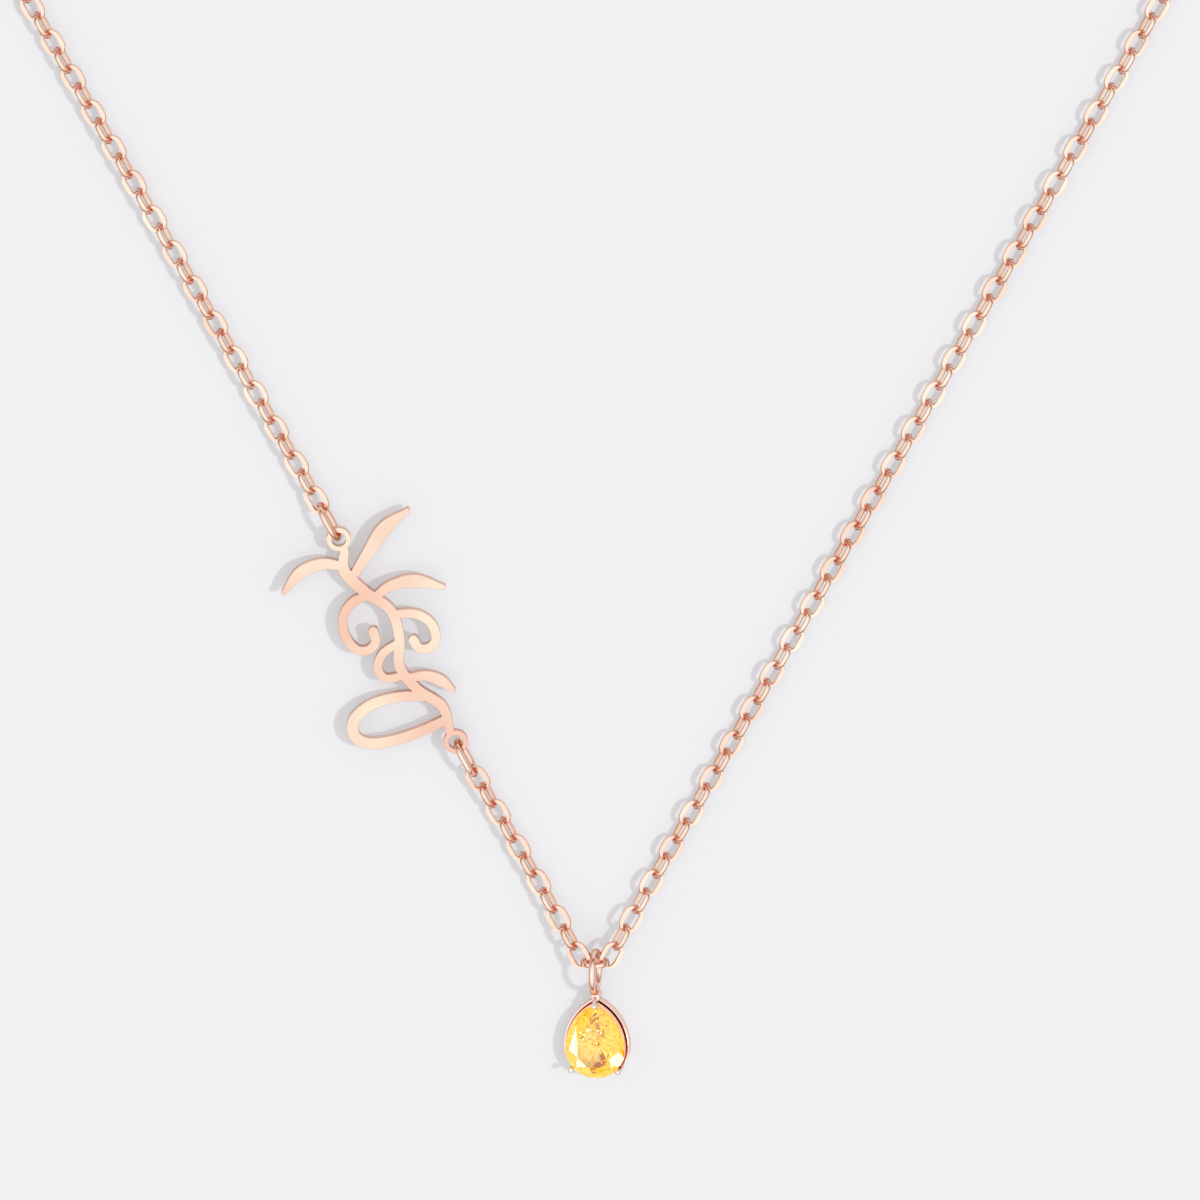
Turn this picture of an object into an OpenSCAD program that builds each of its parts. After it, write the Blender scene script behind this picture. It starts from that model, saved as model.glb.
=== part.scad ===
// Nameplate necklace, lying flat on a surface
// A cable chain with a pierced plate in its left side and a pear stone drop at its lowest point.
// X runs across the loop, Y from the drop to the clasp, Z up from the surface it lies on.

/* [Loop] */
// Length round the whole necklace, clasp included
necklace_length = 450; // [400:5:500]
// Angle between each straight side and the middle line
side_angle = 29; // [26:1:32]

/* [Chain links] */
// Distance from one link's centre to the next, at most
link_pitch = 1.9; // [1.8:0.05:2.1]
// Free play between two links along the chain
link_play = 0.21; // [0.2:0.01:0.26]
// Width of a link across its face
link_w = 2.07; // [2:0.01:2.2]
// Width of the opening in a link
link_hole_w = 1.06; // [1.04:0.01:1.14]
// Metal left at each end of a link
link_end_band = 0.29; // [0.26:0.01:0.32]
// Thickness of the flattened link
link_t = 0.36; // [0.3:0.01:0.38]
// Lean of the links that lie on their face
face_lean = 14; // [12:1:18]
// Lean of the links that stand on their edge
edge_lean = 17; // [14:1:20]
// Corners in a link's outline
link_sides = 16; // [12:2:16]

/* [Jump rings] */
// Length of a jump ring outside
jump_l = 3.92; // [3.8:0.02:4.2]
// Depth of a jump ring outside
jump_depth = 3.13; // [3.1:0.01:3.3]
// Wire of the jump rings
jump_wire = 0.53; // [0.45:0.01:0.55]
// Lean of the jump rings
jump_lean = 5; // [0:1:8]

/* [Plate] */
// Distance between the two holes of the plate
plate_span = 21.9; // [19:0.1:26]
// Thickness of the plate
plate_t = 0.86; // [0.7:0.02:0.88]
// Width of the strokes of the pierced pattern
stroke_w = 0.95; // [0.8:0.05:1.1]
// Outer diameter of the two eyes
eye_d = 2.2; // [2.1:0.05:2.4]
// Diameter of the holes in the eyes
eye_hole_d = 1.3; // [1.26:0.02:1.4]
// Free play of a jump ring in its eye
eye_play = 0.24; // [0.22:0.01:0.3]

/* [Drop] */
// Steps from link to link between the drop and the plate, an even number
lower_steps = 10; // [8:2:12]
// Distance of the first link on each side from the point where the sides would meet
first_link_at = 3.01; // [2.9:0.01:3.2]
// Height of the middle link's centre above that point
middle_link_y = 2.01; // [1.92:0.01:2.05]
// Lean of the middle link
middle_lean = 6; // [3:1:8]
// Height of the middle link's centre above the bail's centre
middle_lift = 0.1; // [0:0.02:0.14]
// Outer diameter of the round bail
bail_d = 4.28; // [4.1:0.02:4.4]
// Wire of the bail, seen along its ring
bail_wire = 0.46; // [0.4:0.02:0.5]
// Width of the bail's flattened wire across its ring
bail_band = 0.6; // [0.46:0.02:0.66]
// Distance of the bail's centre below the middle link's centre
bail_drop = 0.94; // [0.76:0.02:0.94]
// Turn of the whole drop, which leans on its left side
drop_turn = 10; // [6:1:12]

/* [Stone] */
// Width of the pear stone
stone_w = 5.5; // [5:0.1:6]
// Length of the pear stone
stone_l = 7.1; // [6.8:0.05:7.8]
// Height of the crown above the girdle
crown_h = 0.85; // [0.7:0.05:1]
// Depth of the pavilion below the girdle
pavilion_h = 2.2; // [2:0.05:2.5]
// Thickness of the girdle
girdle_t = 0.16; // [0.1:0.02:0.2]
// Share of the stone's outline that the table takes
table_share = 0.56; // [0.5:0.02:0.62]
// Share of the outline at the crown's middle ring of corners
crown_share = 0.82; // [0.78:0.02:0.86]
// Share of the crown's height at that ring
crown_ring_at = 0.6; // [0.5:0.05:0.7]
// Share of the outline at the pavilion's middle ring of corners
pavilion_share = 0.56; // [0.5:0.02:0.58]
// Share of the pavilion's depth at that ring
pavilion_ring_at = 0.5; // [0.45:0.05:0.55]

/* [Setting] */
// Diameter of the post behind the stone's point
post_d = 0.78; // [0.6:0.02:0.84]
// Distance between the stone's point and the post
post_gap = 0.13; // [0.1:0.01:0.16]
// Distance of the rail's outer face outside the stone's outline
rail_out = 0.26; // [0.22:0.02:0.3]
// Thickness of the rail's outer wall
rail_t = 0.12; // [0.1:0.01:0.13]
// Height of the rail's outer wall
rail_h = 0.9; // [0.7:0.05:1]
// Depth of the rail's lower edge below the girdle
rail_depth = 1.75; // [1.6:0.05:1.9]
// Thickness of the floor that joins the rail's two walls
floor_h = 0.3; // [0.2:0.02:0.4]
// Distance of the inner wall's outer face outside the stone's outline
wall_out = 0.03; // [0:0.01:0.06]
// Thickness of the inner wall
wall_t = 0.13; // [0.1:0.01:0.13]
// Depth of the inner wall's upper edge below the girdle
wall_top = 0.3; // [0.3:0.01:0.4]
// Diameter of the prong wire
prong_d = 0.36; // [0.3:0.02:0.4]
// Diameter of the ball on each prong
ball_d = 0.58; // [0.5:0.02:0.62]
// Angle of the two lower prongs below the stone's widest line
prong_angle = 42; // [36:1:50]
// Distance that the balls of the lower prongs lean over the stone
ball_in = 0.05; // [0:0.01:0.08]
// Rise of the ball on the top prong above the other two
tip_rise = 0.1; // [0.04:0.02:0.14]
// Free gap between the stone and the metal that holds it
seat_gap = 0.06; // [0.05:0.01:0.1]

/* [Clasp] */
// Distance between the two openings of the clasp
clasp_span = 7.2; // [6.6:0.2:8.4]
// Width of the clasp's body
clasp_w = 3.4; // [3:0.1:3.8]
// Width of the metal round the clasp's openings
clasp_band = 0.55; // [0.5:0.01:0.6]
// Thickness of the clasp at its openings
clasp_eye_t = 0.5; // [0.44:0.02:0.5]
// Free play of a link in the clasp's opening
clasp_play = 0.34; // [0.34:0.01:0.4]
// Diameter of the clasp's openings
clasp_hole_d = 1.3; // [1.26:0.02:1.4]

/* [Hidden] */
rose_gold = "#E8B8A0";
stone_colour = "#F6C64A";
fine = 48;
tiny = 0.001;
band_sides = 12;
rail_steps = 44;
ring_sides = 24;
wire_sides = 10;
stone_mains = 8;
girdle_sides = 24;

// The loop: two straight sides that run into one round arc
loop_r = necklace_length / (2 / tan(side_angle) + PI * (180 + 2 * side_angle) / 180);
side_l = loop_r / tan(side_angle);
loop_centre_y = loop_r / sin(side_angle);

// Links
link_hole_l = link_pitch + link_play;
link_l = link_hole_l + 2 * link_end_band;

// Height of a leaning ring's centre when its lowest point touches the surface
function flat_level(width, thick, lean) = width / 2 * cos(lean) + thick / 2 * sin(lean);
function ring_level(width, wire, lean) = (width - wire) / 2 * cos(lean) + wire / 2;
chain_z = flat_level(link_w, link_t, edge_lean);
jump_z = ring_level(jump_depth, jump_wire, jump_lean);
bail_z = ring_level(bail_d, bail_wire, drop_turn) + (bail_band - bail_wire) / 2 * sin(drop_turn);
middle_z = bail_z + middle_lift;

// Places along the left side, measured from the point where the sides would meet
lower_links_l = lower_steps * link_pitch;
jump_to_link = jump_l / 2 - jump_wire + link_hole_l / 2 - link_play;
jump_to_eye = jump_l / 2 - jump_wire + eye_hole_d / 2 - eye_play;
lower_jump_at = first_link_at + lower_links_l + jump_to_link;
lower_eye_at = lower_jump_at + jump_to_eye;
upper_eye_at = lower_eye_at + plate_span;
upper_jump_at = upper_eye_at + jump_to_eye;
upper_links_at = upper_jump_at + jump_to_link;
clasp_to_link = link_hole_l / 2 + clasp_hole_d / 2 - clasp_play;
last_link_at = necklace_length / 2 - clasp_span / 2 - clasp_to_link;

// Lengths over which the chain comes down to the surface beside the drop and the plate
drop_run = 12;
plate_run = 6;
slope_reach = 0.5;

// Odd number of steps between links, never longer than the pitch
function odd_steps(l) = 2 * ceil((l / link_pitch - 1) / 2 - tiny) + 1;

// Point of the loop at a distance along one side, side 1 on the left and -1 on the right
function loop_angle(s) = 180 + side_angle - (s - side_l) / loop_r * 180 / PI;
function loop_point(s, side) = s < side_l
    ? [-side * s * sin(side_angle), s * cos(side_angle)]
    : [side * loop_r * cos(loop_angle(s)), loop_centre_y + loop_r * sin(loop_angle(s))];
function heading(s, side) = s < side_l
    ? 90 + side * side_angle
    : 90 + side * (loop_angle(s) - 180);

// Height of the chain, which rises to the drop and on the left to the plate's rings
function ease(u) = let (c = min(max(u, 0), 1)) 1 - c * c * (3 - 2 * c);
function plate_distance(s) = max(0, lower_jump_at - s, s - upper_jump_at);
function chain_height(s, side) = chain_z + (middle_z - chain_z) * ease(s / drop_run)
    + (side > 0 ? (jump_z - chain_z) * ease(plate_distance(s) / plate_run) : 0);
function slope(s, side) = atan((chain_height(s + slope_reach, side)
    - chain_height(s - slope_reach, side)) / (2 * slope_reach));

// Pear outline about the centre of its round end, a round half and two long arcs
pear_r = stone_w / 2;
pear_tip = stone_l - pear_r;
function side_arc(r, tip) = (r * r + tip * tip) / (2 * r);
function pear_point(a, grow) = let (
        arc = side_arc(pear_r, pear_tip) + grow, off = arc - grow - pear_r,
        turn = acos(off / arc) * (90 - abs(a - 90)) / 90, side = a < 90 ? 1 : -1)
    a <= 0 || a >= 180
        ? [(pear_r + grow) * cos(a), (pear_r + grow) * sin(a)]
        : [side * (arc * cos(turn) - off), arc * sin(turn)];

// Drop
bail_y = middle_link_y - bail_drop;
post_r = post_d / 2;
post_overlap = 0.08;
post_rise = 0.1;
joint_step = 0.02;
post_y = bail_y - bail_d / 2 + post_overlap - post_r;
pear_y = post_y - post_r - post_gap - pear_tip;
drop_lift = max(rail_depth * cos(drop_turn) + (pear_r + rail_out) * sin(drop_turn),
    (pavilion_h + girdle_t / 2) * cos(drop_turn));
bail_w = (bail_z - drop_lift) / cos(drop_turn);
prong_r = pear_r + seat_gap + prong_d / 2;

// Bounds of the whole, which put the origin under the middle of it
clasp_y = loop_point(necklace_length / 2 - clasp_span / 2, 1)[1];
front_y = pear_y - pear_r;
origin_y = (clasp_y + clasp_w / 2 + front_y) / 2;

module placed() {
    translate([0, -origin_y, 0]) children();
}

// One oval link of flat wire, its face in XY and its length along X
function stadium(l, w, sides, grow) = let (half = sides / 2, step = 180 / (half - 1))
    [for (i = [0 : sides - 1])
        let (end = i < half ? 1 : -1, a = -90 + (i % half) * step + (end < 0 ? 180 : 0))
        [end * (l - w) / 2 + (w / 2 + grow) * cos(a), (w / 2 + grow) * sin(a)]];

module link() {
    half_step = 90 / (link_sides / 2 - 1);
    hole_grow = link_hole_w / 2 * (1 / cos(half_step) - 1);
    n = link_sides;
    linear_extrude(height = link_t, center = true)
        polygon(points = concat(stadium(link_l, link_w, n, 0),
                stadium(link_hole_l, link_hole_w, n, hole_grow)),
            paths = [[for (i = [0 : n - 1]) i], [for (i = [0 : n - 1]) n + i]]);
}

// Sets a piece on the loop at a distance along a side, with a lean about the chain's own line
module on_loop(s, side, lean) {
    p = loop_point(s, side);
    translate([p[0], p[1], chain_height(s, side)])
        rotate([0, -slope(s, side), heading(s, side)])
        rotate([lean, 0, 0])
        children();
}

// A stretch of links, face and edge in turn, starting with a link on its face
module stretch(from, to, steps, side) {
    for (i = [0 : steps])
        on_loop(from + (to - from) * i / steps, side,
            i % 2 == 0 ? -side * face_lean : 90 - side * edge_lean)
        link();
}

// Closed ring of round wire, its length along X and its depth along Z
module wire_ring(l, depth, wire, sides, wire_sides) {
    centre = stadium(l - wire, depth - wire, sides, 0);
    function turn(i) = let (half = sides / 2, step = 180 / (half - 1))
        -90 + (i % half) * step + (i < half ? 0 : 180);
    points = [for (i = [0 : sides - 1]) for (j = [0 : wire_sides - 1])
        let (a = turn(i), b = 360 * j / wire_sides, r = wire / 2)
        [centre[i][0] + r * cos(b) * cos(a), r * sin(b), centre[i][1] + r * cos(b) * sin(a)]];
    faces = [for (i = [0 : sides - 1]) for (j = [0 : wire_sides - 1])
        let (i2 = (i + 1) % sides, j2 = (j + 1) % wire_sides)
        [i * wire_sides + j, i * wire_sides + j2, i2 * wire_sides + j2, i2 * wire_sides + j]];
    polyhedron(points = points, faces = faces, convexity = 4);
}

module jump_ring(s) {
    on_loop(s, 1, -jump_lean) wire_ring(jump_l, jump_depth, jump_wire, ring_sides, wire_sides);
}

// Strokes of the pierced plate. Each row is a point: share of the span from the upper eye to the
// lower one, share of the span to the right of that line, and share of the stroke's width.
ALONG = 0;
ACROSS = 1;
WIDTH = 2;
STEM = [[0.05, 0.00, 0.8], [0.13, -0.045, 1.1], [0.25, -0.015, 1.1], [0.37, 0.04, 1.0],
    [0.49, 0.015, 1.0], [0.60, -0.045, 1.0], [0.72, -0.03, 1.0], [0.84, 0.025, 1.0],
    [0.95, 0.00, 0.8]];
STROKES = [
    STEM,
    // Long leaf that rises to the right of the upper eye
    [[0.17, -0.03, 0.8], [0.11, 0.08, 1.2], [0.05, 0.19, 1.35], [0.03, 0.31, 0.5]],
    // Long leaf that falls to the right
    [[0.29, 0.01, 0.8], [0.28, 0.09, 1.0], [0.31, 0.19, 1.3], [0.39, 0.28, 0.5]],
    // Leaf on the left
    [[0.11, -0.04, 0.8], [0.06, -0.11, 1.1], [0.05, -0.21, 1.2], [0.09, -0.31, 0.5]],
    // Tendril on the left that curls at its end
    [[0.27, -0.01, 0.8], [0.265, -0.08, 0.9], [0.30, -0.145, 0.9], [0.36, -0.175, 0.9],
        [0.42, -0.177, 0.9], [0.462, -0.158, 0.9], [0.477, -0.118, 0.9], [0.459, -0.08, 0.9],
        [0.418, -0.068, 1.0]],
    // Tendril on the right that curls at its end
    [[0.39, 0.035, 0.8], [0.43, 0.115, 0.9], [0.485, 0.155, 0.9], [0.54, 0.157, 0.9],
        [0.58, 0.135, 0.9], [0.59, 0.097, 0.9], [0.57, 0.064, 0.9], [0.53, 0.06, 1.0]],
    // Small open leaf on the left
    [[0.51, 0.0, 0.8], [0.52, -0.08, 0.85], [0.565, -0.128, 0.85], [0.62, -0.12, 0.85],
        [0.645, -0.045, 0.8]],
    // Small leaf lower on the right
    [[0.66, -0.045, 0.8], [0.69, 0.03, 1.0], [0.74, 0.075, 1.1], [0.80, 0.10, 0.5]],
    // Open leaf on the left, drawn as one loop that leaves the stem and comes back to it
    [[0.77, -0.01, 0.9], [0.72, -0.10, 1.0], [0.69, -0.22, 1.05], [0.71, -0.32, 1.1],
        [0.77, -0.355, 1.1], [0.83, -0.32, 1.1], [0.87, -0.22, 1.05], [0.89, -0.10, 1.0],
        [0.895, 0.0, 0.9]]];
steps_per_span = 10;
cap_steps = 6;

// Smooth curve through a row of points, by the cubic that passes through each of them
function cubic(p0, p1, p2, p3, t) = 0.5 * (2 * p1 + (p2 - p0) * t
    + (2 * p0 - 5 * p1 + 4 * p2 - p3) * t * t + (3 * p1 - p0 - 3 * p2 + p3) * t * t * t);
function row(rows, i) = i < 0 ? 2 * rows[0] - rows[1]
    : i >= len(rows) ? 2 * rows[len(rows) - 1] - rows[len(rows) - 2] : rows[i];
function curve(rows) = concat(
    [for (i = [0 : len(rows) - 2]) for (k = [0 : steps_per_span - 1])
        cubic(row(rows, i - 1), row(rows, i), row(rows, i + 1), row(rows, i + 2),
            k / steps_per_span)],
    [rows[len(rows) - 1]]);
function bearing(c, i) = let (a = c[max(i - 1, 0)], b = c[min(i + 1, len(c) - 1)])
    atan2(b[ACROSS] - a[ACROSS], b[ALONG] - a[ALONG]);
function edge_point(c, i, turn) = let (r = c[i][WIDTH] * stroke_w / 2, a = bearing(c, i) + turn)
    [c[i][ALONG] * plate_span + r * cos(a), c[i][ACROSS] * plate_span + r * sin(a)];
function outline(c) = let (last = len(c) - 1) concat(
    [for (i = [0 : last]) edge_point(c, i, 90)],
    [for (k = [1 : cap_steps - 1]) edge_point(c, last, 90 - 180 * k / cap_steps)],
    [for (i = [0 : last]) edge_point(c, last - i, -90)],
    [for (k = [1 : cap_steps - 1]) edge_point(c, 0, -90 - 180 * k / cap_steps)]);

module name_plate() {
    p = loop_point(upper_eye_at, 1);
    eyes = [0, plate_span];
    color(rose_gold)
        placed()
        translate([p[0], p[1], jump_z - plate_t / 2])
        rotate([0, 0, heading(upper_eye_at, 1) - 180])
        difference() {
            union() {
                linear_extrude(height = plate_t) for (s = STROKES) polygon(outline(curve(s)));
                for (x = eyes) translate([x, 0, 0]) cylinder(d = eye_d, h = plate_t, $fn = fine);
            }
            for (x = eyes)
                translate([x, 0, -plate_t])
                cylinder(d = eye_hole_d, h = 3 * plate_t, $fn = fine);
        }
}

module left_chain() {
    steps = odd_steps(last_link_at - upper_links_at);
    color(rose_gold) placed() stretch(upper_links_at, last_link_at, steps, 1);
}

module lower_left_chain() {
    color(rose_gold)
        placed()
        stretch(first_link_at, first_link_at + lower_links_l, lower_steps, 1);
}

module right_chain() {
    steps = odd_steps(last_link_at - first_link_at);
    color(rose_gold) placed() stretch(first_link_at, last_link_at, steps, -1);
}

module middle_link() {
    color(rose_gold)
        placed()
        translate([0, middle_link_y, middle_z])
        rotate([90 + middle_lean, 0, 0])
        link();
}

module upper_jump_ring() {
    color(rose_gold) placed() jump_ring(upper_jump_at);
}

module lower_jump_ring() {
    color(rose_gold) placed() jump_ring(lower_jump_at);
}

// Frame of the drop: X across the stone, Y along it, Z out of its table, zero at the girdle
module on_drop(y) {
    placed() translate([0, y, drop_lift]) rotate([0, -drop_turn, 0]) children();
}

module bar(from, to, d) {
    v = to - from;
    translate(from)
        rotate([0, acos(v[2] / norm(v)), atan2(v[1], v[0])])
        cylinder(d = d, h = norm(v), $fn = fine);
}

module prong(foot, shoulder, tip) {
    bar(foot, shoulder, prong_d);
    translate(shoulder) sphere(d = prong_d + 2 * joint_step, $fn = fine);
    bar(shoulder, tip, prong_d);
    translate(tip) sphere(d = ball_d, $fn = fine);
}

// Band that follows the stone's outline from the right prong over the point to the left prong
module band(out, thick, from, to, reach) {
    angles = [for (i = [0 : rail_steps]) -reach + (180 + 2 * reach) * i / rail_steps];
    translate([0, 0, from])
        linear_extrude(height = to - from)
        polygon(concat([for (a = angles) pear_point(a, out)],
            [for (i = [0 : rail_steps]) pear_point(angles[rail_steps - i], out - thick)]));
}

// Rail of two thin walls on a floor; their joints are set in by a small step
module rail() {
    floor_out = rail_out - joint_step;
    floor_w = floor_out - wall_out + wall_t - joint_step;
    band(rail_out, rail_t, -rail_depth, rail_h - rail_depth, prong_angle);
    band(floor_out, floor_w, joint_step - rail_depth, floor_h - rail_depth, prong_angle - 1);
    band(wall_out, wall_t, 2 * joint_step - rail_depth, -wall_top, prong_angle - 2);
}

module setting() {
    ball_z = girdle_t / 2 + ball_d / 2 + seat_gap;
    foot_z = -rail_depth + prong_d / 2;
    shank_y = post_y - pear_y - prong_d / 4;
    color(rose_gold) {
        on_drop(bail_y)
            translate([0, 0, bail_w])
            rotate([0, 90, 0])
            rotate_extrude($fn = 2 * fine)
            translate([(bail_d - bail_wire) / 2, 0])
            polygon([for (a = [0 : 360 / band_sides : 359])
                [bail_wire / 2 * cos(a), bail_band / 2 * sin(a)]]);
        on_drop(post_y)
            translate([0, 0, -rail_depth])
            cylinder(r = post_r, h = rail_depth + bail_w + post_rise, $fn = fine);
        on_drop(pear_y) {
            rail();
            prong([0, shank_y, bail_w], [0, shank_y, ball_z / 2],
                [0, pear_tip - ball_d / 4, ball_z + tip_rise]);
            for (side = [-1, 1]) {
                c = [side * cos(prong_angle), -sin(prong_angle)];
                prong(concat(prong_r * c, [foot_z]), concat(prong_r * c, [girdle_t]),
                    concat((prong_r - ball_in) * c, [ball_z]));
            }
        }
    }
}

// Pear stone: table and two rings of facets above the girdle, one ring and a keel below
module stone() {
    function ring(share, z, from, step) = [for (a = [from : step : from + 359])
        let (p = pear_point(a % 360, 0)) [p[0] * share, p[1] * share, z]];
    half = girdle_t / 2;
    main = 360 / stone_mains;
    girdle = 360 / girdle_sides;
    points = concat(ring(table_share, half + crown_h, 0, main),
        ring(crown_share, half + crown_h * crown_ring_at, main / 2, main),
        ring(1, half, 0, girdle), ring(1, -half, 0, girdle),
        ring(pavilion_share, -half - pavilion_h * pavilion_ring_at, main / 2, main),
        [[0, 0, -half - pavilion_h]]);
    color(stone_colour)
        on_drop(pear_y)
        hull() polyhedron(points = points, faces = [[for (i = [0 : len(points) - 1]) i]]);
}

module clasp() {
    ends = [-clasp_span / 2, clasp_span / 2];
    body_h = 2 * chain_z;
    body_l = clasp_span - clasp_hole_d - clasp_band / 2;
    eye_d = clasp_hole_d + 2 * clasp_band;
    color(rose_gold)
        placed()
        translate([0, clasp_y, chain_z])
        difference() {
            union() {
                for (x = ends)
                    translate([x, 0, 0])
                    cylinder(d = eye_d, h = clasp_eye_t, center = true, $fn = fine);
                linear_extrude(height = body_h, center = true)
                    polygon(stadium(body_l, clasp_w, fine, 0));
            }
            for (x = ends)
                translate([x, 0, 0])
                cylinder(d = clasp_hole_d, h = 2 * body_h, center = true, $fn = fine);
        }
}

left_chain();
lower_left_chain();
right_chain();
middle_link();
upper_jump_ring();
lower_jump_ring();
name_plate();
setting();
stone();
clasp();
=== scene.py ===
"""Looks of a nameplate necklace that lies on a pale surface.

A cable chain of flattened oval links carries a pierced plate in its left side and a pear stone drop at
its lowest point. Sizes are in millimetres, as a goldsmith states them, and MM turns them to metres.
"""

import logging
import math
import random
from collections.abc import Callable, Iterator, Sequence
from dataclasses import dataclass, field
from enum import Enum

import bmesh
import bpy
import numpy as np
from mathutils import Euler, Matrix, Quaternion, Vector


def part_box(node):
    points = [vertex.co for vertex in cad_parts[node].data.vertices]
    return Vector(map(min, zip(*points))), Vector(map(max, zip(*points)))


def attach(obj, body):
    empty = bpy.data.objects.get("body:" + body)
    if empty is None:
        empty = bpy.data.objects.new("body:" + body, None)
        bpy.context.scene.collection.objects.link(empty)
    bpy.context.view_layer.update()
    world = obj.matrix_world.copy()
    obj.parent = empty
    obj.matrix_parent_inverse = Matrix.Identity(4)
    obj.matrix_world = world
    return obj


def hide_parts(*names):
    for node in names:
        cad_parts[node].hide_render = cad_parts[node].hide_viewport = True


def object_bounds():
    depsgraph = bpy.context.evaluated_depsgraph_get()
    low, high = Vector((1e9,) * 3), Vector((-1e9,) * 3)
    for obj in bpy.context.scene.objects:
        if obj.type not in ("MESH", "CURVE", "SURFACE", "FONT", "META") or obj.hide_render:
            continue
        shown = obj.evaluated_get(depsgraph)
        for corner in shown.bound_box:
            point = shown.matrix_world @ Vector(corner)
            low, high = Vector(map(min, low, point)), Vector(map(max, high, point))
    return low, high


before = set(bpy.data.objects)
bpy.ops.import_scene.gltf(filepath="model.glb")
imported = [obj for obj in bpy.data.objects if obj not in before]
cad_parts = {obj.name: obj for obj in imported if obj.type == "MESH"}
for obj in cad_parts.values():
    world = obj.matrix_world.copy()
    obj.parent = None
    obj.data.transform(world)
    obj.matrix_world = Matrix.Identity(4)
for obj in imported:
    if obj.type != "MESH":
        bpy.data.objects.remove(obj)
cad_low, cad_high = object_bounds()

MM = 0.001
PAINTED_REFLECTION_TONE = "facet_tone"
FACET_GRAIN = "facet_grain"
TURN = "turn"
CRISP_FROM = 35.0  # degrees between two polished faces past which their edge stays crisp
SAME_POINT_MM = 0.0005
FLAT_WITHIN = 0.5  # degrees between two triangles of one flat face
EASED_FROM = 40.0  # degrees at an edge from which tumbling eases it
FILLET_SHARE = 0.4995  # of a ring's depth, a little under half so its two rounded ends don't meet
log = logging.getLogger("necklace")


class Shading(Enum):
    """How a piece's faces meet in the light."""

    CUT = "flat facets with crisp edges"
    POLISHED = "round faces that run into each other, with the true corners left crisp"


class Slot(Enum):
    """The record's material slots."""

    METAL = "rose_gold"
    STONE = "yellow_stone"


def linear(hex_colour: str) -> tuple[float, float, float, float]:
    """Turns an sRGB colour to the linear values that a shader takes.

    Args:
        hex_colour: Colour such as "#E8B8A0".

    Returns:
        Linear red, green and blue, and an alpha of 1.
    """
    def channel(value: float) -> float:
        """Undoes the sRGB curve on one channel."""
        return value / 12.92 if value <= 0.04045 else ((value + 0.055) / 1.055) ** 2.4

    red, green, blue = (channel(int(hex_colour[i:i + 2], 16) / 255) for i in (1, 3, 5))
    return red, green, blue, 1.0


def add(
    tree: bpy.types.NodeTree,
    kind: str,
    inputs: dict[str | int, object] | None = None,
    **settings: object,
) -> bpy.types.Node:
    """Adds a node with its settings, and with its inputs set to values or linked to sockets.

    Args:
        tree: Tree that gets the node.
        kind: Blender's name of the node type.
        inputs: Value or output socket for each input, by the input's name or number.
        **settings: The node's own properties.

    Returns:
        The new node.
    """
    node = tree.nodes.new(kind)
    for name, value in settings.items():
        setattr(node, name, value)
    for key, value in (inputs or {}).items():
        if isinstance(value, bpy.types.NodeSocket):
            tree.links.new(value, node.inputs[key])
        else:
            node.inputs[key].default_value = value
    return node


def new_material(name: str) -> tuple[bpy.types.Material, bpy.types.NodeTree]:
    """Makes a material with an empty node tree.

    Args:
        name: Name of the finish.

    Returns:
        The material and its tree.
    """
    material = bpy.data.materials.new(name)
    material.use_nodes = True
    material.node_tree.nodes.clear()
    return material, material.node_tree


def noise(tree: bpy.types.NodeTree, size_mm: float, detail: float) -> bpy.types.NodeSocket:
    """Adds clouds of a size, fixed to the object, with values from 0 to 1 that are mostly near 0.5."""
    place = add(tree, "ShaderNodeTexCoord").outputs["Object"]
    return add(tree, "ShaderNodeTexNoise", {
        "Vector": place, "Scale": 1 / (size_mm * MM), "Detail": detail}).outputs["Fac"]


def patches(tree: bpy.types.NodeTree, size_mm: float) -> bpy.types.NodeSocket:
    """Adds patches of a size, fixed to the object, each with random channels from 0 to 1."""
    place = add(tree, "ShaderNodeTexCoord").outputs["Object"]
    return add(tree, "ShaderNodeTexVoronoi", {
        "Vector": place, "Scale": 1 / (size_mm * MM)}).outputs["Color"]


def stretch(
    tree: bpy.types.NodeTree,
    value: bpy.types.NodeSocket,
    span: tuple[float, float],
    onto: tuple[float, float] = (0.0, 1.0),
) -> bpy.types.NodeSocket:
    """Stretches a span of a value onto another span and cuts off what lies outside.

    Args:
        tree: The material's tree.
        value: The value.
        span: Its lower and upper end.
        onto: What the two ends turn to.

    Returns:
        The new value.
    """
    return add(tree, "ShaderNodeMapRange", {
        "Value": value, "From Min": span[0], "From Max": span[1], "To Min": onto[0],
        "To Max": onto[1]}).outputs["Result"]


def blend(
    tree: bpy.types.NodeTree, share: bpy.types.NodeSocket, one: object, other: object
) -> bpy.types.NodeSocket:
    """Mixes two colours, by the share that the second one gets."""
    # In a Mix node inputs 6 and 7 and output 2 are colours, inputs 2 and 3 and output 0 are values
    return add(tree, "ShaderNodeMix", {0: share, 6: one, 7: other}, data_type="RGBA").outputs[2]


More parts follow.
